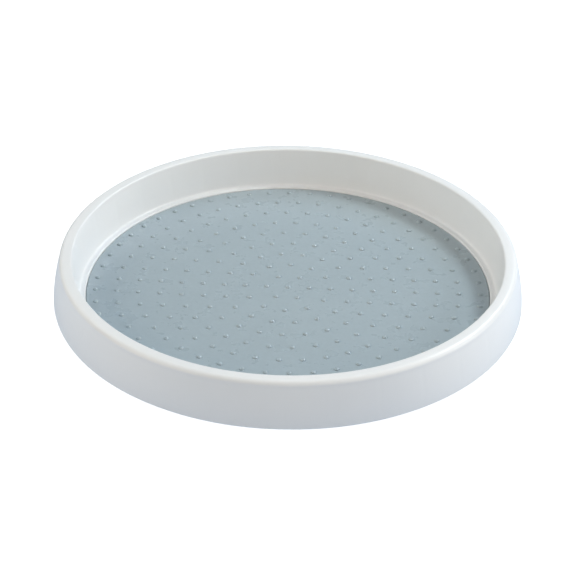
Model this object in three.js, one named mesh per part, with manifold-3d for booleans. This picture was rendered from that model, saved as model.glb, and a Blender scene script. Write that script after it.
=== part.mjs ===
// Lazy susan turntable: a rimmed tray with a grip mat, turning on a ring of balls above a low base.
// Millimetres, +Z up. The origin is on the table, on the axis that the tray turns about.
// Every outline is drawn in the half plane [radius, height] and revolved about Z.
import * as THREE from 'three';
import { mergeGeometries, mergeVertices } from 'three/addons/utils/BufferGeometryUtils.js';
import Module from 'manifold-3d';

const wasm = await Module();
wasm.setup();

// ---- tray: the skirt, the rim and the well
const trayRadius = 140; // at the bottom edge of the skirt
const rimDepth = 27.4; // bottom edge of the skirt to the top of the rim
const skirtLean = 5.2; // how far the skirt leans in over the rim's depth
const skirtBow = 1.6; // 1 is a straight skirt, more leans in mostly near the top
const shoulderRadius = 3; // round between the skirt and the top of the rim
const rimTopWidth = 3.9; // flat on top of the rim
const rimInnerRadius = 1.2; // round between the flat and the wall of the well
const wallLean = 2.8; // how far the wall of the well leans in from top to bottom
const wallFillet = 1.5; // each way from the corner at the foot of the wall
const ledgeWidth = 3.6; // ledge between the foot of the wall and the mat's recess
const ledgeRise = 0.2; // from the ledge's inner edge up to the foot of the wall
const ledgeLift = 0.8; // from the mat's edge up to the ledge's inner edge
const ledgeRound = 0.9; // each way from the ledge's inner edge
const trayWall = 2; // thickness of the moulding
const skirtEdgeRadius = 0.9; // round along the bottom edge of the skirt
const floorDish = 0.9; // how far the floor sinks from its edge to its middle
const floorFlatRadius = 24; // flat in the middle of the floor
const rimRibCount = 33; // gussets across the hollow rim
const rimRibThickness = 1.2;
const rimRibLift = 4; // from the skirt's bottom edge up to the gussets
const floorRibCount = 12; // radial ribs under the floor
const floorRibThickness = 1.6;

// ---- grip mat
const matThickness = 1.5;
const matEdgeLift = 1.5; // mat's edge above the bottom edge of the skirt
const matEdgeRound = 0.4;
const bumpPitch = 12.83; // between rings of bumps
const bumpMargin = 4; // from the outer ring of bumps to the mat's edge, at least
const bumpsInFirstRing = 6; // each ring out has as many more
const bumpRadius = 1.8; // at its root
const bumpHeight = 1;
const bumpRoot = 0.4; // how far a bump runs down into the mat

// ---- base
const baseRadius = 92;
const basePlate = 2;
const baseRimThickness = 1.8;
const baseRimRise = 2.7; // upstand above the plate
const baseEdgeChamfer = 0.6;
const baseRibCount = 12;
const baseRibThickness = 1.4;

// ---- feet
const footCount = 6;
const footRadius = 7;
const footProud = 1.4; // how far the feet hold the base off the table
const footEmbed = 0.6; // depth of the pocket that each foot is stuck in
const footInset = 11; // from the base's edge in to the feet's centres
const footRound = 0.4;

// ---- ball race and cage
const ballCount = 24;
const ballRadius = 1.985; // a 5/32 inch ball
const raceInset = 18; // from the base's edge in to the ring of balls
const raceLandWidth = 9; // width of the ring that each groove runs in
const raceGap = 2; // between the base's ring and the tray's ring
const cageThickness = 1.2;
const cageWidth = 12;

// ---- hub and its fasteners
const bossRadius = 7;
const ribRoot = 1; // how far a rib runs into what it joins
const hubDeck = 2; // thickness of the base around the boss
const hubWall = 2;
const pilotRadius = 1.45;
const pilotCap = 1.1; // plastic left above the screw's pilot hole
const washerRadius = 10;
const washerThickness = 0.8;
const washerBoreRadius = 1.7;
const washerRoom = 2.5; // from the washer out to the wall of its recess
const screwShankRadius = 1.35;
const screwTipRadius = 0.8;
const screwTipLength = 1;
const screwHeadRadius = 3.6;
const screwHeadChamfer = 0.8;
const screwHeadHeight = 1.9;
const screwDriveWidth = 0.9;
const screwDriveLength = 4.2;
const screwDriveDepth = 1;

// ---- clearances
const restGap = 0.1; // between faces that rest on each other
const sideGap = 0.2; // round the feet, and from a ball to its groove
const turnGap = 0.15; // between the boss and the bore that it turns in
const matSideGap = 0.3; // round the mat
const hubGap = 0.3; // between the base's hub and the boss's end
const pocketGap = 0.2; // round a ball in its pocket of the cage
const cutOver = 1; // how far a cut runs past the face that it opens

// ---- facets
const turns = 48; // round the large pieces
const smallTurns = 16; // round the feet and the screw
const washerTurns = 32;
const pocketTurns = 10;
const bumpTurns = 6;

// ---- levels above the table
const plateTop = footProud + basePlate;
const grooveRadius = ballRadius + sideGap;
const ballLevel = plateTop + grooveRadius;
const baseRaceTop = ballLevel - raceGap / 2;
const trayRaceBottom = ballLevel + raceGap / 2;
const floorUnder = ballLevel + grooveRadius; // at the middle of the tray
const floorTop = floorUnder + trayWall;
const matUnder = floorTop + restGap;
const matTop = matUnder + matThickness;
const matEdgeTop = matTop + floorDish;
const skirtBottom = matEdgeTop - matEdgeLift;
const rimTop = skirtBottom + rimDepth;
const shoulderLift = rimDepth - shoulderRadius;
const ledgeLevel = matEdgeTop + ledgeLift;
const wallFootLevel = ledgeLevel + ledgeRise;
const bossBottom = plateTop + hubGap;
const hubDeckUnder = bossBottom + hubGap;
const hubDeckTop = hubDeckUnder + hubDeck;

// ---- radii
const raceRadius = baseRadius - raceInset;
const footRing = baseRadius - footInset;
const skirtRadius = (lift) => trayRadius - skirtLean * (lift / rimDepth) ** skirtBow;
const shoulderCentre = skirtRadius(shoulderLift) - shoulderRadius;
const wallTopRadius = shoulderCentre - rimTopWidth - rimInnerRadius;
const wallFootRadius = wallTopRadius - wallLean;
const recessRadius = wallFootRadius - ledgeWidth;
const matRadius = recessRadius - matSideGap;
const hubRecessRadius = washerRadius + washerRoom;
const hubOuterRadius = hubRecessRadius + hubWall;

const whitePlastic = new THREE.MeshStandardMaterial({ color: '#e9ecef', roughness: 0.35, metalness: 0 });
const greyRubber = new THREE.MeshStandardMaterial({ color: '#9fb0b8', roughness: 0.8, metalness: 0 });
const footRubber = new THREE.MeshStandardMaterial({ color: '#8b9297', roughness: 0.85, metalness: 0 });
const cagePlastic = new THREE.MeshStandardMaterial({ color: '#dcdfdd', roughness: 0.5, metalness: 0 });
const ballSteel = new THREE.MeshStandardMaterial({ color: '#c8ccd0', roughness: 0.15, metalness: 1 });
const zincSteel = new THREE.MeshStandardMaterial({ color: '#b9bdc2', roughness: 0.35, metalness: 1 });

const radians = (degrees) => (degrees * Math.PI) / 180;

// Points along an arc of the half plane, from one angle to another in degrees.
function arc([radius, height], size, from, to, steps) {
  const points = [];
  for (let step = 0; step <= steps; step += 1) {
    const angle = radians(from + ((to - from) * step) / steps);
    points.push([radius + size * Math.cos(angle), height + size * Math.sin(angle)]);
  }
  return points;
}

// A closed mesh with one vertex per place and no triangle of zero area.
function weld(geometry) {
  geometry.deleteAttribute('normal');
  geometry.deleteAttribute('uv');
  const merged = mergeVertices(geometry, 1e-5);
  const index = merged.getIndex().array;
  const kept = [];
  for (let i = 0; i < index.length; i += 3) {
    const [a, b, c] = index.slice(i, i + 3);
    if (a !== b && b !== c && c !== a) kept.push(a, b, c);
  }
  merged.setIndex(kept);
  return merged;
}

// Revolves an outline, listed clockwise, about Z. It starts and ends on the axis or closes on itself.
function revolve(outline, segments) {
  const upwards = outline.map(([r, z]) => new THREE.Vector2(r, z)).reverse();
  const geometry = new THREE.LatheGeometry(upwards, segments);
  return weld(geometry.rotateX(Math.PI / 2));
}

const closed = (outline) => [...outline, outline[0]];

// A flat web standing on a radius: an outline of the half plane with a thickness, turned to its angle.
function web(outline, thickness, angle) {
  const shape = new THREE.Shape(outline.map(([r, z]) => new THREE.Vector2(r, z)));
  const geometry = new THREE.ExtrudeGeometry(shape, { depth: thickness, bevelEnabled: false });
  geometry.translate(0, 0, -thickness / 2);
  geometry.rotateX(Math.PI / 2);
  return weld(geometry.rotateZ(radians(angle)));
}

function disc(radius, height, bottom, segments) {
  const geometry = new THREE.CylinderGeometry(radius, radius, height, segments);
  geometry.rotateX(Math.PI / 2);
  return weld(geometry.translate(0, 0, bottom + height / 2));
}

function toSolid(geometry) {
  const vertProperties = geometry.getAttribute('position').array;
  const triVerts = Uint32Array.from(geometry.getIndex().array);
  return new wasm.Manifold(new wasm.Mesh({ numProp: 3, vertProperties, triVerts }));
}

function toGeometry(solid) {
  const mesh = solid.getMesh();
  const geometry = new THREE.BufferGeometry();
  geometry.setAttribute('position', new THREE.BufferAttribute(mesh.vertProperties, 3));
  geometry.setIndex(new THREE.BufferAttribute(mesh.triVerts, 1));
  return geometry;
}

function named(name, geometry, material) {
  const mesh = new THREE.Mesh(geometry, material);
  mesh.name = name;
  return mesh;
}

// Angles of things spaced evenly round the axis, in degrees.
const spaced = (count) => Array.from({ length: count }, (_, i) => (360 * i) / count);

// ---- tray
// How far the dished floor has risen from its middle at a radius.
function dish(radius) {
  const share = Math.max(0, (radius - floorFlatRadius) / (recessRadius - floorFlatRadius));
  return floorDish * share ** 2;
}

function dishLine(fromRadius, toRadius, level, steps) {
  const points = [];
  for (let step = 0; step <= steps; step += 1) {
    const radius = fromRadius + ((toRadius - fromRadius) * step) / steps;
    points.push([radius, level + dish(radius)]);
  }
  return points;
}

// The skirt's outer face from its bottom edge up to the shoulder, set in by an amount.
function skirtLine(setIn, fromLift, toLift, steps) {
  const points = [];
  for (let step = 0; step <= steps; step += 1) {
    const lift = fromLift + ((toLift - fromLift) * step) / steps;
    points.push([skirtRadius(lift) - setIn, skirtBottom + lift]);
  }
  return points;
}

// Curve that rounds a corner, starting and ending a reach away from it.
function rounded(before, corner, after, reach, steps) {
  const [start, end] = [before, after].map((other) => {
    const share = reach / Math.hypot(other[0] - corner[0], other[1] - corner[1]);
    return new THREE.Vector2(...corner).lerp(new THREE.Vector2(...other), share);
  });
  const curve = new THREE.QuadraticBezierCurve(start, new THREE.Vector2(...corner), end);
  return curve.getPoints(steps).map((point) => point.toArray());
}

// The grooves in the two races: half of each one's opening, as an angle at the balls' middle.
const grooveAngle = (Math.asin(raceGap / 2 / grooveRadius) * 180) / Math.PI;
const landOuter = raceRadius + raceLandWidth / 2;
const landInner = raceRadius - raceLandWidth / 2;

function trayOutline() {
  const hollowTop = rimTop - trayWall;
  const hollowRound = Math.max(shoulderRadius - trayWall, 0);
  const ledgeEdge = [recessRadius, ledgeLevel];
  const wallFoot = [wallFootRadius, wallFootLevel];
  const wallTop = [wallTopRadius, rimTop - rimInnerRadius];
  return [
    [0, floorTop],
    ...dishLine(floorFlatRadius, recessRadius, floorTop, 3),
    ...rounded([recessRadius, floorTop], ledgeEdge, wallFoot, ledgeRound, 2),
    ...rounded(ledgeEdge, wallFoot, wallTop, wallFillet, 3),
    ...arc([wallTopRadius + rimInnerRadius, rimTop - rimInnerRadius], rimInnerRadius, 180, 90, 2),
    ...arc([shoulderCentre, rimTop - shoulderRadius], shoulderRadius, 90, 0, 4),
    ...skirtLine(0, skirtEdgeRadius, shoulderLift, 3).reverse().slice(1),
    ...arc([skirtRadius(0) - skirtEdgeRadius, skirtBottom + skirtEdgeRadius], skirtEdgeRadius, -45, -180, 3),
    ...skirtLine(trayWall, skirtEdgeRadius, shoulderLift, 2).slice(1),
    ...arc([shoulderCentre, rimTop - shoulderRadius], hollowRound, 0, 90, 2).slice(1),
    [wallTopRadius + trayWall, hollowTop],
    [wallFootRadius + trayWall, wallFootLevel - trayWall],
    [recessRadius + trayWall, floorTop + dish(recessRadius)],
    [recessRadius, floorUnder + dish(recessRadius)],
    [landOuter, floorUnder + dish(landOuter)],
    [landOuter, trayRaceBottom],
    ...arc([raceRadius, ballLevel], grooveRadius, grooveAngle, 180 - grooveAngle, 6),
    [landInner, trayRaceBottom],
    [landInner, floorUnder + dish(landInner)],
    [floorFlatRadius, floorUnder],
    [bossRadius, floorUnder],
    [bossRadius, bossBottom],
    [pilotRadius, bossBottom],
    [pilotRadius, floorTop - pilotCap],
    [0, floorTop - pilotCap],
  ];
}

// Gusset across the hollow rim, running half a wall into each side.
function rimRib(angle) {
  const half = trayWall / 2;
  const outline = [
    [wallFootRadius + half, wallFootLevel],
    [skirtRadius(rimRibLift) - half, skirtBottom + rimRibLift],
    [skirtRadius(shoulderLift) - half, rimTop - shoulderRadius],
    [shoulderCentre, rimTop - half],
    [wallTopRadius + trayWall, rimTop - half],
    [wallTopRadius + half, rimTop - trayWall],
  ];
  return web(outline, rimRibThickness, angle);
}

// Rib under the floor from the boss out to the edge of the well.
function floorRib(angle) {
  const from = bossRadius - ribRoot;
  const to = recessRadius - ribRoot;
  const outline = [
    [from, trayRaceBottom],
    [to, trayRaceBottom],
    [to, floorUnder + dish(to) + trayWall / 2],
    [floorFlatRadius, floorUnder + trayWall / 2],
    [from, floorUnder + trayWall / 2],
  ];
  return web(outline, floorRibThickness, angle);
}

// Ring that the ribs must stay out of, so that they don't fill the groove.
function raceKeepOut() {
  const inner = landInner + ribRoot;
  const outer = landOuter - ribRoot;
  const low = trayRaceBottom - cutOver;
  const high = floorUnder + dish(raceRadius) + trayWall / 4;
  return revolve(closed([[inner, low], [inner, high], [outer, high], [outer, low]]), turns);
}

function makeTray() {
  const keepOut = toSolid(raceKeepOut());
  let body = toSolid(revolve(trayOutline(), turns));
  for (const angle of spaced(floorRibCount)) body = body.add(toSolid(floorRib(angle)).subtract(keepOut));
  for (const angle of spaced(rimRibCount)) body = body.add(toSolid(rimRib(angle)));
  return named('tray', toGeometry(body), whitePlastic);
}

// ---- grip mat
function makeBump(radius, angle) {
  const level = matTop + dish(radius);
  const crown = level + bumpHeight;
  const root = level - bumpRoot;
  const bump = revolve([[0, crown], [bumpRadius, root], [0, root]], bumpTurns).translate(radius, 0, 0);
  return bump.rotateZ(radians(angle));
}

// A bump in the middle and rings of bumps round it, with rows that run straight out.
function makeBumps() {
  const bumps = [makeBump(0, 0)];
  const rings = Math.floor((matRadius - bumpMargin) / bumpPitch);
  for (let ring = 1; ring <= rings; ring += 1) {
    for (const angle of spaced(bumpsInFirstRing * ring)) bumps.push(makeBump(ring * bumpPitch, angle));
  }
  return toSolid(weld(mergeGeometries(bumps)));
}

function makeMat() {
  const outline = [
    [0, matTop],
    ...dishLine(floorFlatRadius, matRadius - matEdgeRound, matTop, 3),
    [matRadius, matTop + dish(matRadius) - matEdgeRound],
    ...dishLine(floorFlatRadius, matRadius, matUnder, 3).reverse(),
    [0, matUnder],
  ];
  const body = toSolid(revolve(outline, turns)).add(makeBumps());
  return named('grip_mat', toGeometry(body), greyRubber);
}

// ---- base
function baseOutline() {
  const boreRadius = bossRadius + turnGap;
  return closed([
    [baseRadius, footProud + baseEdgeChamfer],
    [baseRadius - baseEdgeChamfer, footProud],
    [hubRecessRadius, footProud],
    [hubRecessRadius, hubDeckUnder],
    [boreRadius, hubDeckUnder],
    [boreRadius, hubDeckTop],
    [hubOuterRadius, hubDeckTop],
    [hubOuterRadius, plateTop],
    [landInner, plateTop],
    [landInner, baseRaceTop],
    ...arc([raceRadius, ballLevel], grooveRadius, 180 + grooveAngle, 360 - grooveAngle, 6),
    [landOuter, baseRaceTop],
    [landOuter, plateTop],
    [baseRadius - baseRimThickness, plateTop],
    [baseRadius - baseRimThickness, plateTop + baseRimRise],
    [baseRadius, plateTop + baseRimRise],
  ]);
}

function baseRib(angle) {
  const low = plateTop - basePlate / 2;
  const from = hubOuterRadius - ribRoot;
  const to = landInner + ribRoot;
  return web([[from, low], [to, low], [to, baseRaceTop], [from, baseRaceTop]], baseRibThickness, angle);
}

const onFootRing = (angle) => [footRing * Math.cos(radians(angle)), footRing * Math.sin(radians(angle))];

function makeBase() {
  let body = toSolid(revolve(baseOutline(), turns));
  for (const angle of spaced(baseRibCount)) body = body.add(toSolid(baseRib(angle)));
  for (const angle of spaced(footCount)) {
    const [x, y] = onFootRing(angle);
    const pocket = disc(footRadius + sideGap, footEmbed + cutOver, footProud - cutOver, smallTurns);
    body = body.subtract(toSolid(pocket.translate(x, y, 0)));
  }
  return named('base', toGeometry(body), whitePlastic);
}

function makeFoot(number, angle) {
  const top = footProud + footEmbed - restGap;
  const outline = [[0, top], [footRadius, top], [footRadius, footRound], [footRadius - footRound, 0], [0, 0]];
  const foot = named(`foot_${number}`, revolve(outline, smallTurns), footRubber);
  foot.position.set(...onFootRing(angle), 0);
  return foot;
}

// ---- ball cage and balls
function makeCage() {
  const [inner, outer] = [raceRadius - cageWidth / 2, raceRadius + cageWidth / 2];
  const bottom = ballLevel - cageThickness / 2;
  const top = bottom + cageThickness;
  let body = toSolid(revolve(closed([[inner, bottom], [inner, top], [outer, top], [outer, bottom]]), turns));
  for (const angle of spaced(ballCount)) {
    const pocket = disc(ballRadius + pocketGap, cageThickness + 2 * cutOver, bottom - cutOver, pocketTurns);
    pocket.translate(raceRadius, 0, 0);
    body = body.subtract(toSolid(pocket.rotateZ(radians(angle))));
  }
  return named('ball_cage', toGeometry(body), cagePlastic);
}

function makeBall(number, angle) {
  const ball = named(`ball_${number}`, weld(new THREE.IcosahedronGeometry(ballRadius, 1)), ballSteel);
  ball.position.set(raceRadius * Math.cos(radians(angle)), raceRadius * Math.sin(radians(angle)), ballLevel);
  return ball;
}

// ---- washer and screw that hold the base on the tray's boss
function makeWasher() {
  const top = bossBottom - restGap;
  const low = top - washerThickness;
  const [inner, outer] = [washerBoreRadius, washerRadius];
  const outline = closed([[inner, low], [inner, top], [outer, top], [outer, low]]);
  return named('pivot_washer', revolve(outline, washerTurns), zincSteel);
}

function makeScrew() {
  const headTop = bossBottom - washerThickness - 2 * restGap;
  const headBottom = headTop - screwHeadHeight;
  const tip = floorTop - pilotCap - hubGap;
  const outline = [
    [0, tip],
    [screwTipRadius, tip],
    [screwShankRadius, tip - screwTipLength],
    [screwShankRadius, headTop],
    [screwHeadRadius, headTop],
    [screwHeadRadius, headBottom + screwHeadChamfer],
    [screwHeadRadius - screwHeadChamfer, headBottom],
    [0, headBottom],
  ];
  let body = toSolid(revolve(outline, smallTurns));
  for (const angle of [0, 90]) {
    const slot = new THREE.BoxGeometry(screwDriveLength, screwDriveWidth, screwDriveDepth * 2);
    slot.rotateZ(radians(angle));
    body = body.subtract(toSolid(weld(slot.translate(0, 0, headBottom))));
  }
  return named('pivot_screw', toGeometry(body), zincSteel);
}

const twoDigits = (index) => String(index + 1).padStart(2, '0');

const turntable = new THREE.Group();
turntable.name = 'lazy_susan';
turntable.add(makeTray(), makeMat(), makeBase(), makeCage(), makeWasher(), makeScrew());
spaced(footCount).forEach((angle, i) => turntable.add(makeFoot(twoDigits(i), angle)));
spaced(ballCount).forEach((angle, i) => turntable.add(makeBall(twoDigits(i), angle)));

export default turntable;
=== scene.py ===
"""Looks of the lazy susan turntable: fine meshes, moulded materials, a pale floor, soft light and the camera.

Metres, +Z up, in the CAD frame. Outlines are lists of (radius, height) revolved about Z.
"""

import math

import bmesh
import bpy
from mathutils import Matrix, Vector


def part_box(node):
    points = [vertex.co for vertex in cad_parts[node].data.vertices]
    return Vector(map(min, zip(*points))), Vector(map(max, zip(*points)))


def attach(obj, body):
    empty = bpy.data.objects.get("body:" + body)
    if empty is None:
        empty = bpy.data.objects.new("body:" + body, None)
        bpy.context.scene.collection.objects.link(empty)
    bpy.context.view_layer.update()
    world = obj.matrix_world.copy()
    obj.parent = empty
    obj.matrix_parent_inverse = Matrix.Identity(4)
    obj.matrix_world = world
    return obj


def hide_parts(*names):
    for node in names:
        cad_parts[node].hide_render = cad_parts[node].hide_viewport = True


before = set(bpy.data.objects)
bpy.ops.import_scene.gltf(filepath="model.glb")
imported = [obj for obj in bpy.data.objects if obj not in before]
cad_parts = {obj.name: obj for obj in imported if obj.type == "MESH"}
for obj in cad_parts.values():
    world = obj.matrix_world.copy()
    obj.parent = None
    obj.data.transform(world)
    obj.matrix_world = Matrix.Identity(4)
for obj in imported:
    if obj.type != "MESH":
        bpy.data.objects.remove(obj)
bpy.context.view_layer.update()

MM = 0.001

# ---- levels and radii, read from the frame
TRAY_LOW, TRAY_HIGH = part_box("tray")
MAT_LOW, MAT_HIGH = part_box("grip_mat")
BASE_LOW, BASE_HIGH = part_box("base")
FOOT_LOW, FOOT_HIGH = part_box("foot_01")
CAGE_LOW, CAGE_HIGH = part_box("ball_cage")
WASHER_LOW, WASHER_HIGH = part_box("pivot_washer")
SCREW_LOW, SCREW_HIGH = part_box("pivot_screw")
BALL_LOW, BALL_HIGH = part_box("ball_01")

RIM_TOP = TRAY_HIGH[2]
BOSS_BOTTOM = TRAY_LOW[2]
MAT_RADIUS = MAT_HIGH[0]
BASE_RADIUS = BASE_HIGH[0]
PLATE_UNDER = BASE_LOW[2]
BALL_LEVEL = (CAGE_LOW[2] + CAGE_HIGH[2]) / 2
RACE_RADIUS = (BALL_LOW[0] + BALL_HIGH[0]) / 2
FOOT_RING = (FOOT_LOW[0] + FOOT_HIGH[0]) / 2
FOOT_RADIUS = (FOOT_HIGH[0] - FOOT_LOW[0]) / 2

# ---- tray
TRAY_RADIUS = 140 * MM
RIM_DEPTH = 27.4 * MM
SKIRT_LEAN = 5.2 * MM
SKIRT_BOW = 1.6
SHOULDER = 3 * MM
RIM_FLAT = 3.9 * MM
RIM_INNER = 1.2 * MM
WALL_LEAN = 2.8 * MM
WALL_FILLET = 1.5 * MM
LEDGE_WIDTH = 3.6 * MM
LEDGE_RISE = 0.2 * MM
LEDGE_LIFT = 0.8 * MM
LEDGE_ROUND = 0.9 * MM
WALL = 2 * MM
SKIRT_EDGE = 0.9 * MM
FLOOR_DISH = 0.9 * MM
FLOOR_FLAT = 24 * MM
GUSSETS = 33
GUSSET_THICKNESS = 1.2 * MM
GUSSET_LIFT = 4 * MM
FLOOR_RIBS = 12
FLOOR_RIB_THICKNESS = 1.6 * MM
SINK_DEPTH = 0.07 * MM
SINK_WIDTH = 1.1 * MM
HOLLOW_CHAMFER = 0.3 * MM
HOLLOW_ROUND = 1 * MM
RIB_ROOT = 1 * MM

# ---- mat
MAT_THICKNESS = 1.5 * MM
MAT_LIFT = 1.5 * MM
MAT_EDGE = 0.4 * MM
BUMP_RINGS = 9
BUMP_PITCH = 12.83 * MM
BUMP_RADIUS = 1.6 * MM
BUMP_HEIGHT = 1 * MM
BUMP_ROUND = 0.5
BUMP_FLARE = 0.04 * MM
BUMP_ROOT = 0.3 * MM
BUMPS_IN_FIRST_RING = 6

# ---- base, race and hub
PLATE = 2 * MM
BALL_RADIUS = 1.985 * MM
GROOVE = BALL_RADIUS + 0.2 * MM
LAND_WIDTH = 9 * MM
RACE_GAP = 2 * MM
RACE_CHAMFER = 0.2 * MM
BASE_RIM = 1.8 * MM
BASE_RIM_RISE = 2.7 * MM
BASE_RIBS = 12
BASE_RIB_THICKNESS = 1.4 * MM
BOSS_RADIUS = 7 * MM
BOSS_CHAMFER = 0.3 * MM
BOSS_ROOT_CHAMFER = 0.5 * MM
PILOT_RADIUS = 1.45 * MM
PILOT_CAP = 1.1 * MM
BORE_RADIUS = BOSS_RADIUS + 0.15 * MM
HUB_RECESS = 12.5 * MM
HUB_OUTER = 14.5 * MM
HUB_DECK_UNDER = BOSS_BOTTOM + 0.3 * MM
HUB_DECK = 2 * MM
BASE_EDGE = 0.3 * MM

# ---- feet and their pockets
FOOT_POCKET_ROOM = 0.2 * MM
FOOT_POCKET_HEADROOM = 0.1 * MM
FOOT_EDGE = 0.2 * MM
SOLE_ROUND = 0.4 * MM
SOLE_DIP = 0.35 * MM
SOLE_RINGS = (0.72, 0.38)

# ---- cage, washer and screw
CAGE_WIDTH = 12 * MM
CAGE_EDGE = 0.15 * MM
BALL_POCKET_ROOM = 0.2 * MM
WASHER_BORE = 1.7 * MM
WASHER_EDGE = 0.15 * MM
SCREW_PLAY = 0.1 * MM
SHANK_RADIUS = 1.35 * MM
SHANK_FILLET = 0.2 * MM
SHANK_FILLET_RISE = 0.3 * MM
THREAD_LEAD_IN = 1 * MM
TIP_BLUNT = 0.1 * MM
HEAD_EDGE = 0.2 * MM
HEAD_SIDE = 0.5 * MM
HEAD_CROWN = 0.7
RECESS_DEPTH = 1 * MM
RECESS_MOUTH = (2.2 * MM, 0.5 * MM)
RECESS_POINT = (0.9 * MM, 0.35 * MM)

# ---- how far a cutter reaches past what it cuts
CUT_OVER = 1 * MM

# ---- facets round a full turn, and the angles in degrees above which an edge stays crisp
FINE_TURNS = 720
BASE_TURNS = 288
SMALL_TURNS = 64
BUMP_TURNS = 20
CRISP = 35
MAT_CRISP = 50

# ---- levels worked out
PLATE_TOP = PLATE_UNDER + PLATE
FLOOR_UNDER = BALL_LEVEL + GROOVE
FLOOR_TOP = FLOOR_UNDER + WALL
SKIRT_BOTTOM = RIM_TOP - RIM_DEPTH
SHOULDER_CENTRE = TRAY_RADIUS - SKIRT_LEAN * ((RIM_DEPTH - SHOULDER) / RIM_DEPTH) ** SKIRT_BOW - SHOULDER
WALL_TOP = SHOULDER_CENTRE - RIM_FLAT - RIM_INNER
WALL_FOOT = WALL_TOP - WALL_LEAN
RECESS = WALL_FOOT - LEDGE_WIDTH
LEDGE_LEVEL = SKIRT_BOTTOM + MAT_LIFT + LEDGE_LIFT
WALL_FOOT_LEVEL = LEDGE_LEVEL + LEDGE_RISE


# ======================================================================== mesh helpers


def arc(centre, size, start, end, steps):
    """Points along an arc of the half plane, angles in degrees."""
    points = []
    for step in range(steps + 1):
        angle = math.radians(start + (end - start) * step / steps)
        points.append((centre[0] + size * math.cos(angle), centre[1] + size * math.sin(angle)))
    return points


def rounded(before, corner, after, reach, steps):
    """Points that round a corner of the half plane, starting and ending a reach away from it."""
    before, corner, after = Vector(before), Vector(corner), Vector(after)
    start = corner + (before - corner).normalized() * reach
    end = corner + (after - corner).normalized() * reach
    points = []
    for share in between(0, 1, steps):
        first = start.lerp(corner, share)
        second = corner.lerp(end, share)
        points.append(tuple(first.lerp(second, share)))
    return points


def between(start, end, steps):
    """The shares of the way from start to end, both ends included."""
    return [start + (end - start) * step / steps for step in range(steps + 1)]


def shade(mesh, sharp_degrees):
    """Smooth shading with edges sharper than an angle kept crisp."""
    for polygon in mesh.polygons:
        polygon.use_smooth = True
    mesh.set_sharp_from_angle(angle=math.radians(sharp_degrees))


def to_object(name, bm, sharp_degrees=CRISP):
    bmesh.ops.recalc_face_normals(bm, faces=bm.faces)
    mesh = bpy.data.meshes.new(name)
    bm.to_mesh(mesh)
    bm.free()
    shade(mesh, sharp_degrees)
    piece = bpy.data.objects.new(name, mesh)
    bpy.context.collection.objects.link(piece)
    return piece


def add_turned(bm, outline, segments, shape=None, centre=(0, 0)):
    """Adds an outline revolved about a vertical line through centre.

    An outline that touches the axis has a single vertex there; any other outline closes on itself.
    shape(angle, radius, height) may move a point in or out as it goes round.
    """
    rings = []
    for radius, height in outline:
        if radius < 1e-9:
            rings.append([bm.verts.new((centre[0], centre[1], height))])
            continue
        ring = []
        for turn in range(segments):
            angle = 2 * math.pi * turn / segments
            out = radius if shape is None else shape(angle, radius, height)
            x = centre[0] + out * math.cos(angle)
            y = centre[1] + out * math.sin(angle)
            ring.append(bm.verts.new((x, y, height)))
        rings.append(ring)
    pairs = list(zip(rings, rings[1:]))
    if len(rings[0]) > 1:
        pairs.append((rings[-1], rings[0]))
    for lower, upper in pairs:
        for turn in range(segments):
            after = (turn + 1) % segments
            if len(lower) == 1 and len(upper) == 1:
                break
            if len(lower) == 1:
                bm.faces.new((lower[0], upper[turn], upper[after]))
            elif len(upper) == 1:
                bm.faces.new((lower[turn], lower[after], upper[0]))
            else:
                bm.faces.new((lower[turn], lower[after], upper[after], upper[turn]))


def add_web(bm, outline, thickness, angle):
    """Adds a flat rib standing on a radius, from an outline of the half plane."""
    across = Vector((-math.sin(angle), math.cos(angle), 0)) * thickness / 2
    along = Vector((math.cos(angle), math.sin(angle), 0))
    near = [bm.verts.new(along * r + Vector((0, 0, z)) - across) for r, z in outline]
    far = [bm.verts.new(along * r + Vector((0, 0, z)) + across) for r, z in outline]
    bm.faces.new(near)
    bm.faces.new(far[::-1])
    for i in range(len(outline)):
        after = (i + 1) % len(outline)
        bm.faces.new((near[i], far[i], far[after], near[after]))


def finish_piece(piece, body, slot, material, *nodes):
    piece.data.materials.append(material)
    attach(piece, body)
    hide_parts(*nodes)
    return piece


def spaced(count):
    return [2 * math.pi * i / count for i in range(count)]


# ======================================================================== materials


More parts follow.
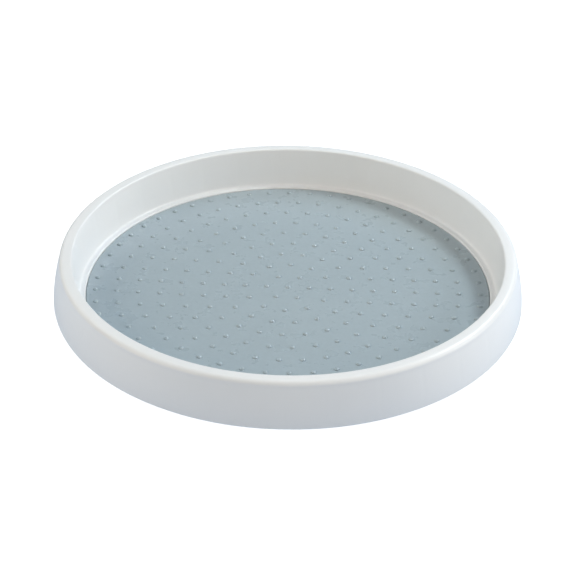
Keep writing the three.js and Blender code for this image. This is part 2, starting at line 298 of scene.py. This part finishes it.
class Nodes:
    """A material's node tree, with the few calls that these materials need."""

    def __init__(self, name):
        self.material = bpy.data.materials.new(name)
        self.material.use_nodes = True
        self.tree = self.material.node_tree
        self.shader = self.tree.nodes["Principled BSDF"]
        self.place = self.tree.nodes.new("ShaderNodeTexCoord").outputs["Object"]

    def link(self, output, node_input):
        self.tree.links.new(output, node_input)

    def noise(self, scale, detail=2.0, roughness=0.5, stretch=None):
        node = self.tree.nodes.new("ShaderNodeTexNoise")
        node.inputs["Scale"].default_value = scale
        node.inputs["Detail"].default_value = detail
        node.inputs["Roughness"].default_value = roughness
        source = self.place
        if stretch is not None:
            mapping = self.tree.nodes.new("ShaderNodeMapping")
            mapping.inputs["Scale"].default_value = stretch
            self.link(self.place, mapping.inputs["Vector"])
            source = mapping.outputs["Vector"]
        self.link(source, node.inputs["Vector"])
        return node.outputs["Fac"]

    def spread(self, value, low, high):
        """Maps the middle of a noise, 0.3 to 0.7, on to low to high."""
        node = self.tree.nodes.new("ShaderNodeMapRange")
        node.inputs["From Min"].default_value = 0.3
        node.inputs["From Max"].default_value = 0.7
        node.inputs["To Min"].default_value = low
        node.inputs["To Max"].default_value = high
        self.link(value, node.inputs["Value"])
        return node.outputs["Result"]

    def mix(self, factor, first, second):
        node = self.tree.nodes.new("ShaderNodeMix")
        node.data_type = "RGBA"
        node.inputs["A"].default_value = (*first, 1)
        node.inputs["B"].default_value = (*second, 1)
        self.link(factor, node.inputs["Factor"])
        return node.outputs["Result"]

    def blend(self, value, first, second):
        """A colour between two, by a noise."""
        return self.mix(self.spread(value, 0, 1), first, second)

    def tint(self, colour, value, low, high):
        """Darkens or lightens a colour by a noise."""
        node = self.tree.nodes.new("ShaderNodeHueSaturation")
        self.link(self.spread(value, low, high), node.inputs["Value"])
        self.link(colour, node.inputs["Color"])
        return node.outputs["Color"]

    def bump(self, value, distance, strength=1.0, under=None):
        node = self.tree.nodes.new("ShaderNodeBump")
        node.inputs["Distance"].default_value = distance
        node.inputs["Strength"].default_value = strength
        self.link(value, node.inputs["Height"])
        if under is not None:
            self.link(under, node.inputs["Normal"])
        return node.outputs["Normal"]

    def set(self, **sockets):
        names = {key.replace("_", " ").capitalize(): value for key, value in sockets.items()}
        for shown, value in names.items():
            match = next(s for s in self.shader.inputs if s.name.lower() == shown.lower())
            match.default_value = value


def white_plastic():
    """Moulded polypropylene: satin, a little uneven, with the faint skin that the mould leaves."""
    nodes = Nodes("white_plastic")
    colour = nodes.blend(nodes.noise(14, 3), (0.80, 0.826, 0.85), (0.83, 0.85, 0.868))
    colour = nodes.tint(colour, nodes.noise(900, 2), 0.992, 1.0)
    nodes.link(colour, nodes.shader.inputs["Base Color"])
    nodes.link(nodes.spread(nodes.noise(70, 4), 0.30, 0.40), nodes.shader.inputs["Roughness"])
    skin = nodes.bump(nodes.noise(1500, 2), 0.02 * MM, 0.35)
    flow = nodes.bump(nodes.noise(60, 1), 0.06 * MM, 0.25, skin)
    nodes.link(flow, nodes.shader.inputs["Normal"])
    nodes.set(ior=1.49, specular_ior_level=0.45)
    return nodes.material


def base_plastic():
    """The same plastic from a spark-eroded mould: flatter and grainier."""
    nodes = Nodes("base_plastic")
    colour = nodes.blend(nodes.noise(20, 3), (0.73, 0.75, 0.77), (0.77, 0.785, 0.80))
    nodes.link(colour, nodes.shader.inputs["Base Color"])
    nodes.link(nodes.spread(nodes.noise(160, 4), 0.45, 0.58), nodes.shader.inputs["Roughness"])
    nodes.link(nodes.bump(nodes.noise(1900, 3), 0.05 * MM, 0.6), nodes.shader.inputs["Normal"])
    nodes.set(ior=1.49)
    return nodes.material


def cage_plastic():
    """Natural nylon: a warmer, slightly cloudy white."""
    nodes = Nodes("cage_plastic")
    colour = nodes.blend(nodes.noise(45, 3), (0.72, 0.71, 0.65), (0.79, 0.78, 0.73))
    nodes.link(colour, nodes.shader.inputs["Base Color"])
    nodes.link(nodes.spread(nodes.noise(220, 3), 0.38, 0.5), nodes.shader.inputs["Roughness"])
    nodes.link(nodes.bump(nodes.noise(1300, 2), 0.03 * MM, 0.5), nodes.shader.inputs["Normal"])
    nodes.set(ior=1.53)
    return nodes.material


def grip_rubber():
    """Soft grey-blue mat: matt, with a fine grain and slight cloudiness."""
    nodes = Nodes("grip_rubber")
    colour = nodes.blend(nodes.noise(22, 4, 0.6), (0.37, 0.445, 0.49), (0.384, 0.46, 0.505))
    colour = nodes.tint(colour, nodes.noise(420, 3, 0.6), 0.965, 1.02)
    nodes.link(colour, nodes.shader.inputs["Base Color"])
    nodes.link(nodes.spread(nodes.noise(130, 4), 0.26, 0.32), nodes.shader.inputs["Roughness"])
    grain = nodes.bump(nodes.noise(1700, 3, 0.6), 0.05 * MM, 0.5)
    nodes.link(grain, nodes.shader.inputs["Normal"])
    nodes.set(ior=1.47)
    return nodes.material


def foot_rubber():
    """Feet of the same soft plastic as the mat, darker, and dulled by the shelf."""
    nodes = Nodes("foot_rubber")
    colour = nodes.blend(nodes.noise(120, 4), (0.16, 0.19, 0.205), (0.21, 0.235, 0.25))
    nodes.link(colour, nodes.shader.inputs["Base Color"])
    nodes.link(nodes.spread(nodes.noise(400, 4), 0.68, 0.85), nodes.shader.inputs["Roughness"])
    nodes.link(nodes.bump(nodes.noise(2400, 3, 0.6), 0.05 * MM, 0.7), nodes.shader.inputs["Normal"])
    nodes.set(ior=1.47)
    return nodes.material


def ball_steel():
    """Polished bearing steel with the haze of use."""
    nodes = Nodes("ball_steel")
    colour = nodes.blend(nodes.noise(500, 3), (0.62, 0.63, 0.65), (0.70, 0.71, 0.72))
    nodes.link(colour, nodes.shader.inputs["Base Color"])
    nodes.link(nodes.spread(nodes.noise(900, 4), 0.07, 0.16), nodes.shader.inputs["Roughness"])
    nodes.link(nodes.bump(nodes.noise(2500, 2), 0.004 * MM, 0.4), nodes.shader.inputs["Normal"])
    nodes.set(metallic=1.0)
    return nodes.material


def zinc_steel():
    """Zinc plate: cloudy blue-white with a fine spangle."""
    nodes = Nodes("zinc_steel")
    colour = nodes.blend(nodes.noise(260, 4), (0.55, 0.57, 0.60), (0.66, 0.66, 0.64))
    nodes.link(colour, nodes.shader.inputs["Base Color"])
    nodes.link(nodes.spread(nodes.noise(1100, 3), 0.25, 0.42), nodes.shader.inputs["Roughness"])
    nodes.link(nodes.bump(nodes.noise(1500, 3), 0.02 * MM, 0.5), nodes.shader.inputs["Normal"])
    nodes.set(metallic=1.0)
    return nodes.material


# ======================================================================== tray


def skirt_radius(lift):
    return TRAY_RADIUS - SKIRT_LEAN * (max(lift, 0) / RIM_DEPTH) ** SKIRT_BOW


def dish(radius):
    """How far the floor has risen from its flat middle at a radius."""
    share = max(0.0, (radius - FLOOR_FLAT) / (RECESS - FLOOR_FLAT))
    return FLOOR_DISH * share**2


def dish_line(start, end, level, steps):
    return [(radius, level + dish(radius)) for radius in between(start, end, steps)]


def skirt_line(set_in, low, high, steps):
    return [(skirt_radius(lift) - set_in, SKIRT_BOTTOM + lift) for lift in between(low, high, steps)]


def well_line():
    """The edge of the mat's recess, the ledge, and the leaning wall up to the round inside the rim."""
    ledge_edge = (RECESS, LEDGE_LEVEL)
    wall_foot = (WALL_FOOT, WALL_FOOT_LEVEL)
    wall_top = (WALL_TOP, RIM_TOP - RIM_INNER)
    wall = [tuple(Vector(wall_foot).lerp(Vector(wall_top), share)) for share in between(0.1, 1, 6)[1:-1]]
    return [
        *rounded((RECESS, FLOOR_TOP), ledge_edge, wall_foot, LEDGE_ROUND, 6),
        *rounded(ledge_edge, wall_foot, wall_top, WALL_FILLET, 10),
        *wall,
    ]


def groove_arc(side):
    """The round groove of a race: side is 1 above the balls and -1 below them."""
    half = math.degrees(math.asin(RACE_GAP / 2 / GROOVE))
    if side > 0:
        return arc((RACE_RADIUS, BALL_LEVEL), GROOVE, half, 180 - half, 14)
    return arc((RACE_RADIUS, BALL_LEVEL), GROOVE, 180 + half, 360 - half, 14)


def tray_outline():
    land_out = RACE_RADIUS + LAND_WIDTH / 2
    land_in = RACE_RADIUS - LAND_WIDTH / 2
    race_bottom = BALL_LEVEL + RACE_GAP / 2
    hollow_top = RIM_TOP - WALL
    edge = (skirt_radius(0) - SKIRT_EDGE, SKIRT_BOTTOM + SKIRT_EDGE)
    wall_corner = (WALL_FOOT + WALL, WALL_FOOT_LEVEL - WALL)
    pan_corner = (RECESS + WALL, FLOOR_TOP + dish(RECESS))
    return [
        (0, FLOOR_TOP),
        (FLOOR_FLAT, FLOOR_TOP),
        *dish_line(FLOOR_FLAT, RECESS, FLOOR_TOP, 14)[1:],
        *well_line(),
        *arc((WALL_TOP + RIM_INNER, RIM_TOP - RIM_INNER), RIM_INNER, 180, 90, 6),
        *arc((SHOULDER_CENTRE, RIM_TOP - SHOULDER), SHOULDER, 90, 0, 12),
        *skirt_line(0, SKIRT_EDGE, RIM_DEPTH - SHOULDER, 16)[-2::-1],
        *arc(edge, SKIRT_EDGE, -10, -180, 7),
        *skirt_line(WALL, SKIRT_EDGE, RIM_DEPTH - SHOULDER, 10)[1:],
        *arc((SHOULDER_CENTRE, RIM_TOP - SHOULDER), SHOULDER - WALL, 0, 90, 4)[1:],
        (WALL_TOP + WALL + HOLLOW_CHAMFER, hollow_top),
        (WALL_TOP + WALL, hollow_top - HOLLOW_CHAMFER),
        *rounded((WALL_TOP + WALL, hollow_top), wall_corner, pan_corner, HOLLOW_ROUND, 4),
        *rounded(wall_corner, pan_corner, (RECESS, FLOOR_UNDER), HOLLOW_ROUND, 4),
        *dish_line(RECESS, land_out, FLOOR_UNDER, 4),
        (land_out, race_bottom + RACE_CHAMFER),
        (land_out - RACE_CHAMFER, race_bottom),
        *groove_arc(1),
        (land_in + RACE_CHAMFER, race_bottom),
        (land_in, race_bottom + RACE_CHAMFER),
        *dish_line(land_in, FLOOR_FLAT, FLOOR_UNDER, 4),
        (BOSS_RADIUS + BOSS_ROOT_CHAMFER, FLOOR_UNDER),
        (BOSS_RADIUS, FLOOR_UNDER - BOSS_ROOT_CHAMFER),
        (BOSS_RADIUS, BOSS_BOTTOM + BOSS_CHAMFER),
        (BOSS_RADIUS - BOSS_CHAMFER, BOSS_BOTTOM),
        (PILOT_RADIUS, BOSS_BOTTOM),
        (PILOT_RADIUS, FLOOR_TOP - PILOT_CAP),
        (0, FLOOR_TOP - PILOT_CAP),
    ]


def sink_marks(angle, radius, height):
    """The skin sinks slightly where a gusset stands behind the skirt and the wall of the well."""
    if height < SKIRT_BOTTOM + GUSSET_LIFT or radius < WALL_FOOT:
        return radius
    pitch = 2 * math.pi / GUSSETS
    off = (angle + pitch / 2) % pitch - pitch / 2
    depth = SINK_DEPTH * math.exp(-((off * radius / SINK_WIDTH) ** 2))
    fade = min(1.0, (RIM_TOP - SHOULDER - height) / SHOULDER)
    if fade <= 0:
        return radius
    middle = (WALL_TOP + SHOULDER_CENTRE) / 2
    return radius - depth * fade if radius > middle else radius + depth * fade


def gusset_outline():
    return [
        (WALL_FOOT + WALL / 2, WALL_FOOT_LEVEL),
        (skirt_radius(GUSSET_LIFT) - WALL / 2, SKIRT_BOTTOM + GUSSET_LIFT),
        (skirt_radius(RIM_DEPTH - SHOULDER) - WALL / 2, RIM_TOP - SHOULDER),
        (SHOULDER_CENTRE, RIM_TOP - WALL / 2),
        (WALL_TOP + WALL, RIM_TOP - WALL / 2),
    ]


def floor_rib_outlines():
    """The rib's two stretches, from the boss to the race and from the race to the edge of the floor."""
    bottom = BALL_LEVEL + RACE_GAP / 2
    stretches = [
        (BOSS_RADIUS - RIB_ROOT, RACE_RADIUS - LAND_WIDTH / 2 + RIB_ROOT),
        (RACE_RADIUS + LAND_WIDTH / 2 - RIB_ROOT, RECESS - RIB_ROOT),
    ]
    outlines = []
    for start, end in stretches:
        top = dish_line(end, start, FLOOR_UNDER + WALL / 2, 4)
        outlines.append([(start, bottom), (end, bottom), *top])
    return outlines


def make_tray(material):
    bm = bmesh.new()
    add_turned(bm, tray_outline(), FINE_TURNS, sink_marks)
    for angle in spaced(GUSSETS):
        add_web(bm, gusset_outline(), GUSSET_THICKNESS, angle)
    for angle in spaced(FLOOR_RIBS):
        for outline in floor_rib_outlines():
            add_web(bm, outline, FLOOR_RIB_THICKNESS, angle)
    return finish_piece(to_object("tray_moulding", bm), "tray", "tray_plastic", material, "tray")


# ======================================================================== mat


def bump_outline(level):
    """A dome with a narrow flare round its foot, from its crown down to a closed underside."""
    points = []
    for share in (*between(0, 0.92, 8), 1.0):
        points.append((BUMP_RADIUS * share, level + BUMP_HEIGHT * (1 - share**2) ** BUMP_ROUND))
    points[-1] = (BUMP_RADIUS + BUMP_FLARE, level)
    points.append((BUMP_RADIUS + BUMP_FLARE, level - BUMP_ROOT))
    points.append((0, level - BUMP_ROOT))
    return points


def bump_places():
    """The middle, then rings with six more bumps each, so that six rows run straight out."""
    places = [(0.0, 0.0)]
    for ring in range(1, BUMP_RINGS + 1):
        for angle in spaced(BUMPS_IN_FIRST_RING * ring):
            places.append((ring * BUMP_PITCH * math.cos(angle), ring * BUMP_PITCH * math.sin(angle)))
    return places


def make_mat(material):
    under = MAT_LOW[2]
    top = under + MAT_THICKNESS
    bm = bmesh.new()
    outline = [
        (0, top),
        (FLOOR_FLAT, top),
        *dish_line(FLOOR_FLAT, MAT_RADIUS - MAT_EDGE, top, 16)[1:],
        *arc((MAT_RADIUS - MAT_EDGE, top + dish(MAT_RADIUS) - MAT_EDGE), MAT_EDGE, 75, 0, 4),
        *dish_line(MAT_RADIUS, FLOOR_FLAT, under, 8),
        (0, under),
    ]
    add_turned(bm, outline, BASE_TURNS)
    for x, y in bump_places():
        level = top + dish(math.hypot(x, y))
        add_turned(bm, bump_outline(level), BUMP_TURNS, centre=(x, y))
    mat = to_object("grip_mat_bumped", bm, MAT_CRISP)
    return finish_piece(mat, "tray", "grip_rubber", material, "grip_mat")


# ======================================================================== base


def base_outline():
    land_out = RACE_RADIUS + LAND_WIDTH / 2
    land_in = RACE_RADIUS - LAND_WIDTH / 2
    land_top = BALL_LEVEL - RACE_GAP / 2
    rim_in = BASE_RADIUS - BASE_RIM
    rim_top = PLATE_TOP + BASE_RIM_RISE
    deck = HUB_DECK_UNDER + HUB_DECK
    soft = BASE_EDGE
    return [
        *arc((BASE_RADIUS - 2 * soft, PLATE_UNDER + 2 * soft), 2 * soft, 0, -90, 4),
        *arc((HUB_RECESS + soft, PLATE_UNDER + soft), soft, 270, 180, 3),
        (HUB_RECESS, HUB_DECK_UNDER),
        (BORE_RADIUS, HUB_DECK_UNDER),
        (BORE_RADIUS, deck - soft),
        (BORE_RADIUS + soft, deck),
        *arc((HUB_OUTER - soft, deck - soft), soft, 90, 0, 3),
        (HUB_OUTER, PLATE_TOP),
        (land_in, PLATE_TOP),
        (land_in, land_top - RACE_CHAMFER),
        (land_in + RACE_CHAMFER, land_top),
        *groove_arc(-1),
        (land_out - RACE_CHAMFER, land_top),
        (land_out, land_top - RACE_CHAMFER),
        (land_out, PLATE_TOP),
        (rim_in, PLATE_TOP),
        *arc((rim_in + soft, rim_top - soft), soft, 180, 90, 3),
        *arc((BASE_RADIUS - soft, rim_top - soft), soft, 90, 0, 3),
    ]


def feet_count():
    return sum(name.startswith("foot_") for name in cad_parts)


def pocket_cutter():
    """The six foot pockets, as solids to cut out of the base."""
    bm = bmesh.new()
    radius = FOOT_RADIUS + FOOT_POCKET_ROOM
    low = PLATE_UNDER - CUT_OVER
    high = FOOT_HIGH[2] + FOOT_POCKET_HEADROOM
    for angle in spaced(feet_count()):
        centre = (FOOT_RING * math.cos(angle), FOOT_RING * math.sin(angle))
        add_turned(bm, [(0, high), (radius, high), (radius, low), (0, low)], SMALL_TURNS, centre=centre)
    return to_object("pocket_cutter", bm)


def cut(piece, cutter):
    """Cuts one solid out of another and keeps the result as the piece's mesh."""
    modifier = piece.modifiers.new("cut", "BOOLEAN")
    modifier.operation = "DIFFERENCE"
    modifier.solver = "EXACT"
    modifier.object = cutter
    graph = bpy.context.evaluated_depsgraph_get()
    mesh = bpy.data.meshes.new_from_object(piece.evaluated_get(graph))
    piece.modifiers.remove(modifier)
    piece.data = mesh
    shade(mesh, CRISP)
    bpy.data.objects.remove(cutter)


def make_base(material):
    bm = bmesh.new()
    add_turned(bm, base_outline(), BASE_TURNS)
    base = to_object("base_disc", bm)
    cut(base, pocket_cutter())
    ribs = bmesh.new()
    ribs.from_mesh(base.data)
    low = PLATE_TOP - PLATE / 2
    high = BALL_LEVEL - RACE_GAP / 2
    near = HUB_OUTER - RIB_ROOT
    far = RACE_RADIUS - LAND_WIDTH / 2 + RIB_ROOT
    for angle in spaced(BASE_RIBS):
        add_web(ribs, [(near, low), (far, low), (far, high), (near, high)], BASE_RIB_THICKNESS, angle)
    ribs.to_mesh(base.data)
    ribs.free()
    shade(base.data, CRISP)
    return finish_piece(base, "base", "base_plastic", material, "base")


def make_foot(number, angle, material):
    """A rubber foot, with two shallow rings moulded in its sole."""
    top = FOOT_HIGH[2]
    outline = [(0, top), (FOOT_RADIUS - FOOT_EDGE, top), (FOOT_RADIUS, top - FOOT_EDGE)]
    outline += arc((FOOT_RADIUS - SOLE_ROUND, SOLE_ROUND), SOLE_ROUND, 0, -90, 5)
    dip = SOLE_DIP
    mouth = 1.6 * dip
    for ring in SOLE_RINGS:
        middle = FOOT_RADIUS * ring
        outline += [(middle + mouth, 0), (middle + dip, dip), (middle - dip, dip), (middle - mouth, 0)]
    outline.append((0, 0))
    bm = bmesh.new()
    add_turned(bm, outline, SMALL_TURNS, centre=(FOOT_RING * math.cos(angle), FOOT_RING * math.sin(angle)))
    foot = to_object(f"rubber_foot_{number:02d}", bm)
    return finish_piece(foot, "base", "foot_rubber", material, f"foot_{number:02d}")


# ======================================================================== cage and balls


def ball_count():
    return sum(name.startswith("ball_") and name != "ball_cage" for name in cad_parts)


def cage_cell(bm, angle, pitch, side_steps=8):
    """One cell of the cage: a sector with a round pocket in it, as quads from the pocket to the border."""
    inner = CAGE_HIGH[0] - CAGE_WIDTH
    outer = CAGE_HIGH[0]
    pocket = BALL_RADIUS + BALL_POCKET_ROOM
    corners = [(inner, -0.5), (outer, -0.5), (outer, 0.5), (inner, 0.5)]
    border = []
    for start, end in zip(corners, corners[1:] + corners[:1]):
        for share in between(0, 1, side_steps)[:-1]:
            radius = start[0] + (end[0] - start[0]) * share
            turn = angle + pitch * (start[1] + (end[1] - start[1]) * share)
            border.append(Vector((radius * math.cos(turn), radius * math.sin(turn), BALL_LEVEL)))
    middle = Vector((RACE_RADIUS * math.cos(angle), RACE_RADIUS * math.sin(angle), BALL_LEVEL))
    # the border starts at its inner corner, so the pocket's edge starts on that side too
    first = angle - 3 * math.pi / 4
    loops = []
    for share in (0.0, 0.25, 1.0):
        loop = []
        for i, corner in enumerate(border):
            turn = first + 2 * math.pi * i / len(border)
            start = middle + Vector((math.cos(turn), math.sin(turn), 0)) * pocket
            loop.append(bm.verts.new(start.lerp(corner, share)))
        loops.append(loop)
    for near, far in zip(loops, loops[1:]):
        for i in range(len(border)):
            after = (i + 1) % len(border)
            bm.faces.new((near[i], far[i], far[after], near[after]))


def make_cage(material):
    count = ball_count()
    bm = bmesh.new()
    for angle in spaced(count):
        cage_cell(bm, angle, 2 * math.pi / count)
    bmesh.ops.remove_doubles(bm, verts=bm.verts, dist=0.001 * MM)
    cage = to_object("ball_retainer", bm)
    thickness = cage.modifiers.new("thickness", "SOLIDIFY")
    thickness.thickness = CAGE_HIGH[2] - CAGE_LOW[2]
    thickness.offset = 0
    edge = cage.modifiers.new("edge", "BEVEL")
    edge.width = CAGE_EDGE
    edge.segments = 2
    edge.limit_method = "ANGLE"
    edge.angle_limit = math.radians(50)
    return finish_piece(cage, "cage", "cage_plastic", material, "ball_cage")


def make_ball(number, angle, material):
    bm = bmesh.new()
    bmesh.ops.create_icosphere(bm, subdivisions=4, radius=BALL_RADIUS)
    place = Vector((RACE_RADIUS * math.cos(angle), RACE_RADIUS * math.sin(angle), BALL_LEVEL))
    bmesh.ops.translate(bm, verts=bm.verts, vec=place)
    name = f"ball_{number:02d}"
    return finish_piece(to_object(f"steel_{name}", bm), name, "ball_steel", material, name)


# ======================================================================== washer and screw


def make_washer(material):
    low, high, outer = WASHER_LOW[2], WASHER_HIGH[2], WASHER_HIGH[0]
    bore = WASHER_BORE
    soft = WASHER_EDGE
    outline = [
        (bore, low + soft),
        (bore, high),
        *arc((outer - soft, high - soft), soft, 90, 0, 3),
        *arc((outer - 2 * soft, low + 2 * soft), 2 * soft, 0, -90, 4),
        (bore + soft, low),
    ]
    bm = bmesh.new()
    add_turned(bm, outline, SMALL_TURNS)
    return finish_piece(to_object("wide_washer", bm), "tray", "zinc_steel", material, "pivot_washer")


def driver_recess(level):
    """A cross with tapered wings, to cut in the screw's head. Each end has half a length and half a width."""
    bm = bmesh.new()
    ends = [(-CUT_OVER / 2, *RECESS_MOUTH), (RECESS_DEPTH, *RECESS_POINT)]
    corners = [(-1, -1), (1, -1), (1, 1), (-1, 1)]
    for angle in (0, math.pi / 2):
        across = Vector((-math.sin(angle), math.cos(angle), 0))
        along = Vector((math.cos(angle), math.sin(angle), 0))
        loops = []
        for height, length, width in ends:
            middle = Vector((0, 0, level + height))
            loops.append([bm.verts.new(middle + along * a * length + across * b * width) for a, b in corners])
        bm.faces.new(loops[0])
        bm.faces.new(loops[1][::-1])
        for i in range(4):
            after = (i + 1) % 4
            bm.faces.new((loops[0][i], loops[0][after], loops[1][after], loops[1][i]))
    return to_object("driver_recess", bm)


def make_screw(material):
    """A pan-head screw from below: tip, shank, the flat of the head, and its crown as a quarter turn."""
    head_top = WASHER_LOW[2] - SCREW_PLAY
    bottom, tip, head = SCREW_LOW[2], SCREW_HIGH[2], SCREW_HIGH[0]
    crown = head_top - HEAD_SIDE
    outline = [
        (0, tip),
        (SHANK_RADIUS / 2, tip - TIP_BLUNT),
        (SHANK_RADIUS, tip - THREAD_LEAD_IN),
        (SHANK_RADIUS, head_top + SHANK_FILLET_RISE),
        (SHANK_RADIUS + SHANK_FILLET, head_top),
        (head - HEAD_EDGE, head_top),
        (head, head_top - HEAD_EDGE),
    ]
    for share in between(0, 1, 8)[1:]:
        fall = (crown - bottom) * math.sin(math.pi / 2 * share)
        outline.append((head * math.cos(math.pi / 2 * share) ** HEAD_CROWN, crown - fall))
    outline[-1] = (0, bottom)
    bm = bmesh.new()
    add_turned(bm, outline, SMALL_TURNS)
    screw = to_object("pan_head_screw", bm)
    cut(screw, driver_recess(bottom))
    return finish_piece(screw, "tray", "zinc_steel", material, "pivot_screw")


# ======================================================================== studio

WHITE = (1.0, 1.0, 1.0)
NEUTRAL = (0.96, 1.0, 0.96)
COOL = (0.75, 0.86, 1.0)
WARM = (1.0, 0.88, 0.74)
FLOOR_GLOW = (0.12, 0.22, 0.36)
ROOM_STRENGTH = 0.01
FLOOR_GREY = (0.30, 0.31, 0.32)
FLOOR_ROUGHNESS = 0.9
FLOOR_SIZE = 8
FLOOR_GAP = 0.2 * MM
LIGHT_DISTANCE = 1.7

# camera: angles in degrees, lens and sensor in millimetres, and a distance in radii of the skirt's edge
CAMERA_AZIMUTH = 3.4
CAMERA_ELEVATION = 32.5
CAMERA_TILT = 0.74
SKIRT_UNIT = 139.5 * MM
CAMERA_DISTANCE = 6.8 * SKIRT_UNIT
CAMERA_LENS = 98.3
CAMERA_SENSOR = 36

# name, azimuth and elevation in degrees, size in metres, watts, colour
LIGHTS = [
    ("key", 120, 50, 0.3, 10.5, NEUTRAL),
    ("back_right", 150, 40, 0.6, 8, COOL),
    ("right", 90, 30, 0.6, 6.5, COOL),
    ("low_right", 90, 10, 0.6, 5, WARM),
    ("front_right", 60, 30, 1.1, 8.5, WARM),
    ("low_front", 0, 12, 0.6, 2.5, NEUTRAL),
    ("front_left", 300, 30, 1.1, 13, WARM),
    ("back_left", 240, 30, 1.1, 7.5, NEUTRAL),
    ("high_left", 270, 60, 0.5, 3, COOL),
    ("under", 0, -90, 0.2, 6, NEUTRAL),
]


def make_floor():
    """A pale floor, burnt out to white in the picture, that throws a dimmer blue-grey light up at the part.

    It is clear from below, and to shadows, so the underside can be seen and lit too.
    """
    bpy.ops.mesh.primitive_plane_add(size=FLOOR_SIZE, location=(0, 0, -FLOOR_GAP))
    floor = bpy.context.object
    floor.name = "studio_floor"
    nodes = Nodes("studio_floor")
    nodes.shader.inputs["Base Color"].default_value = (*FLOOR_GREY, 1)
    nodes.shader.inputs["Roughness"].default_value = FLOOR_ROUGHNESS
    path = nodes.tree.nodes.new("ShaderNodeLightPath").outputs
    nodes.link(nodes.mix(path["Is Camera Ray"], FLOOR_GLOW, WHITE), nodes.shader.inputs["Emission Color"])
    nodes.shader.inputs["Emission Strength"].default_value = 1.0
    clear = nodes.tree.nodes.new("ShaderNodeMath")
    clear.operation = "MAXIMUM"
    nodes.link(nodes.tree.nodes.new("ShaderNodeNewGeometry").outputs["Backfacing"], clear.inputs[0])
    nodes.link(path["Is Shadow Ray"], clear.inputs[1])
    either = nodes.tree.nodes.new("ShaderNodeMixShader")
    nodes.link(clear.outputs["Value"], either.inputs["Fac"])
    nodes.link(nodes.shader.outputs["BSDF"], either.inputs[1])
    nodes.link(nodes.tree.nodes.new("ShaderNodeBsdfTransparent").outputs["BSDF"], either.inputs[2])
    nodes.link(either.outputs["Shader"], nodes.tree.nodes["Material Output"].inputs["Surface"])
    floor.data.materials.append(nodes.material)


def soft_light(name, azimuth, elevation, size, watts, colour):
    """A square soft box that looks at the part. Azimuth 0 is in front and 90 is on the right."""
    a, e = math.radians(azimuth), math.radians(elevation)
    towards = Vector((math.sin(a) * math.cos(e), -math.cos(a) * math.cos(e), math.sin(e)))
    data = bpy.data.lights.new(name, "AREA")
    data.shape = "SQUARE"
    data.size = size
    data.energy = watts
    data.color = colour
    light = bpy.data.objects.new(name, data)
    light.location = towards * LIGHT_DISTANCE
    light.rotation_euler = towards.to_track_quat("Z", "Y").to_euler()
    bpy.context.collection.objects.link(light)


def make_world():
    """A white backdrop to look at, that throws hardly any light."""
    world = bpy.data.worlds.new("studio")
    bpy.context.scene.world = world
    world.use_nodes = True
    tree = world.node_tree
    background = tree.nodes["Background"]
    background.inputs["Color"].default_value = (*WHITE, 1)
    seen = tree.nodes.new("ShaderNodeMapRange")
    seen.inputs["To Min"].default_value = ROOM_STRENGTH
    tree.links.new(tree.nodes.new("ShaderNodeLightPath").outputs["Is Camera Ray"], seen.inputs["Value"])
    tree.links.new(seen.outputs["Result"], background.inputs["Strength"])


def make_camera():
    """Looks down at the middle of the skirt's bottom edge from the photograph's side."""
    azimuth = math.radians(CAMERA_AZIMUTH)
    elevation = math.radians(CAMERA_ELEVATION)
    tilt = math.radians(CAMERA_TILT)
    out = math.cos(elevation)
    back = Vector((math.sin(azimuth) * out, -math.cos(azimuth) * out, math.sin(elevation)))
    data = bpy.data.cameras.new("camera")
    data.sensor_width = CAMERA_SENSOR
    data.lens = CAMERA_LENS
    data.clip_start = 0.01
    camera = bpy.data.objects.new("camera", data)
    camera.location = Vector((0, 0, SKIRT_BOTTOM)) + back * CAMERA_DISTANCE
    turn = back.to_track_quat("Z", "Y").to_matrix() @ Matrix.Rotation(tilt, 3, "Z")
    camera.rotation_euler = turn.to_euler()
    bpy.context.collection.objects.link(camera)
    bpy.context.scene.camera = camera


white = white_plastic()
make_tray(white)
make_mat(grip_rubber())
make_base(base_plastic())
make_cage(cage_plastic())
rubber = foot_rubber()
for i, angle in enumerate(spaced(feet_count())):
    make_foot(i + 1, angle, rubber)
steel = ball_steel()
for i, angle in enumerate(spaced(ball_count())):
    make_ball(i + 1, angle, steel)
zinc = zinc_steel()
make_washer(zinc)
make_screw(zinc)

make_floor()
make_world()
for light in LIGHTS:
    soft_light(*light)
make_camera()
bpy.context.scene.view_settings.view_transform = "Standard"
